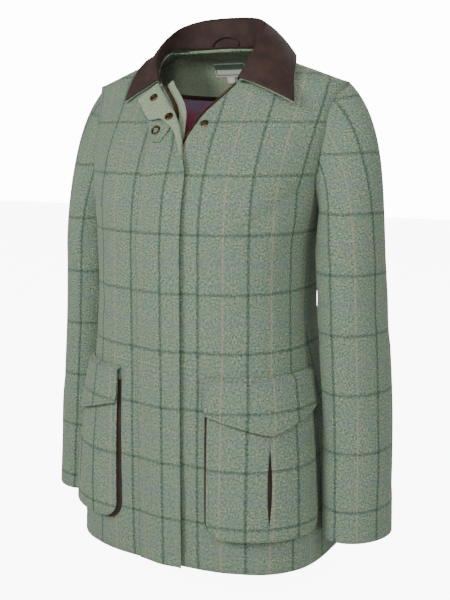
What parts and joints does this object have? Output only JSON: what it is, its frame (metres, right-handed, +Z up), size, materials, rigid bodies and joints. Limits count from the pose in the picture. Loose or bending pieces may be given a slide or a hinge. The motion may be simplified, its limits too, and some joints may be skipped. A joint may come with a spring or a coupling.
{
  "type": "field coat",
  "caption": "Thigh-length tweed field coat on an unseen form, zip front under a snap placket, moleskin collar, two bellows pockets.",
  "frame": {"origin": "between the two high points of the shoulders, at the base of the neck, where a hanger or the shoulders carry the coat", "axes": "+Z up, the coat's front faces -Y, the wearer's left is +X"},
  "size_m": [0.5782, 0.3256, 0.7881],
  "materials": {
    "tweed": "matt twill-woven wool with a windowpane check",
    "moleskin": "matt brushed cotton moleskin",
    "satin": "smooth satin lining",
    "tape": "woven zip tape",
    "label": "woven label, bare",
    "brass": "antique brass"
  },
  "bodies": {
    "coat": {"front_left": "tweed", "front_right": "tweed", "back": "tweed", "placket": "tweed", "zip_guard": "tweed", "zip_tape_left": "tape", "zip_tape_right": "tape", "zip_slider": "brass", "sleeve_top_left": "tweed", "sleeve_under_left": "tweed", "sleeve_top_right": "tweed", "sleeve_under_right": "tweed", "collar_top": "moleskin", "collar_under": "tweed", "neck_facing": "tweed", "facing_binding": "moleskin", "lining": "satin", "hanger_loop": "moleskin", "neck_label": "label", "size_tag": "label", "throat_tab": "tweed", "tab_snap": "brass", "front_stud": "brass", "placket_socket_upper": "brass", "placket_socket_lower": "brass", "pocket_inner_left": "tweed", "pocket_outer_left": "tweed", "gusset_left": "moleskin", "slit_backing_left": "moleskin", "flap_left": "tweed", "pocket_inner_right": "tweed", "pocket_outer_right": "tweed", "gusset_right": "moleskin", "slit_backing_right": "moleskin", "flap_right": "tweed"},
    "pull": {"zip_pull": "brass"}
  },
  "joints": [
    {"name": "pull_hinge", "type": "hinge", "parent": "coat", "child": "pull", "pos_m": [0.008, -0.1335, -0.1984], "axis": [1, 0, 0], "range_deg": [-4, 0]}
  ]
}
